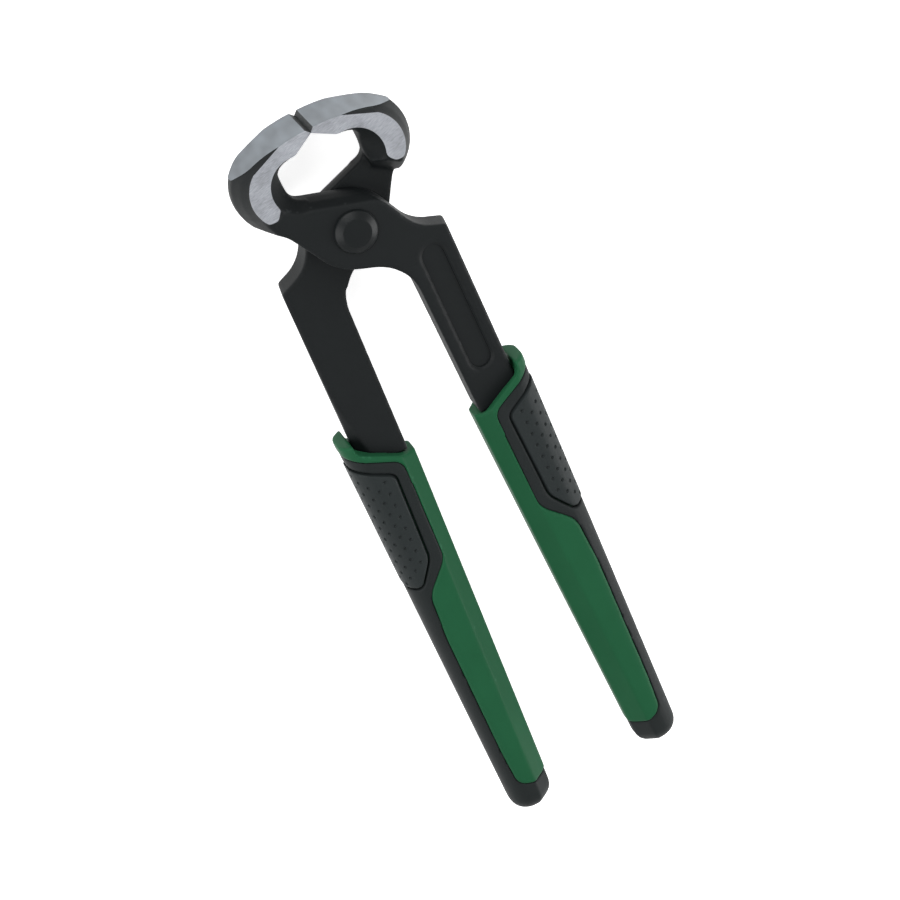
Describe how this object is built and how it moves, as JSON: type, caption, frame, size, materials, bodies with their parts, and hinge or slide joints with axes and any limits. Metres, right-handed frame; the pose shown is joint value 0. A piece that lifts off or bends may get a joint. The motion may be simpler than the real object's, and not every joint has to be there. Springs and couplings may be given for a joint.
{
  "type": "end cutting nippers",
  "caption": "End cutting nippers with curved jaws that meet square to the tool, a riveted lap joint and two-material grips; squeezing the handles pulls and cuts nails or wire.",
  "frame": {"origin": "centre of the underside of the bounding box, with the tool lying flat", "axes": "+Y along the tool towards the cutting edges, +Z along the rivet out of the front face, +X to the right seen from the front"},
  "size_m": [0.0522, 0.1994, 0.019],
  "materials": {
    "forged_steel": "black oxide on forged steel, jaw cheeks and end faces ground bright",
    "rivet_steel": "black oxide steel",
    "green_plastic": "satin moulded plastic",
    "soft_grip": "matt soft overmould",
    "pad_rubber": "matt dimpled rubber"
  },
  "bodies": {
    "front_half": {"front_lever": "forged_steel", "pivot_rivet": "rivet_steel", "right_grip_sleeve": "green_plastic", "right_grip_overmould": "soft_grip", "right_grip_pad": "pad_rubber"},
    "back_half": {"back_lever": "forged_steel", "left_grip_sleeve": "green_plastic", "left_grip_overmould": "soft_grip", "left_grip_pad": "pad_rubber"}
  },
  "joints": [
    {"name": "lever_pivot", "type": "hinge", "parent": "front_half", "child": "back_half", "pos_m": [0, 0.07089, 0.00905], "axis": [0, 0, -1], "range_deg": [0, 35]}
  ]
}
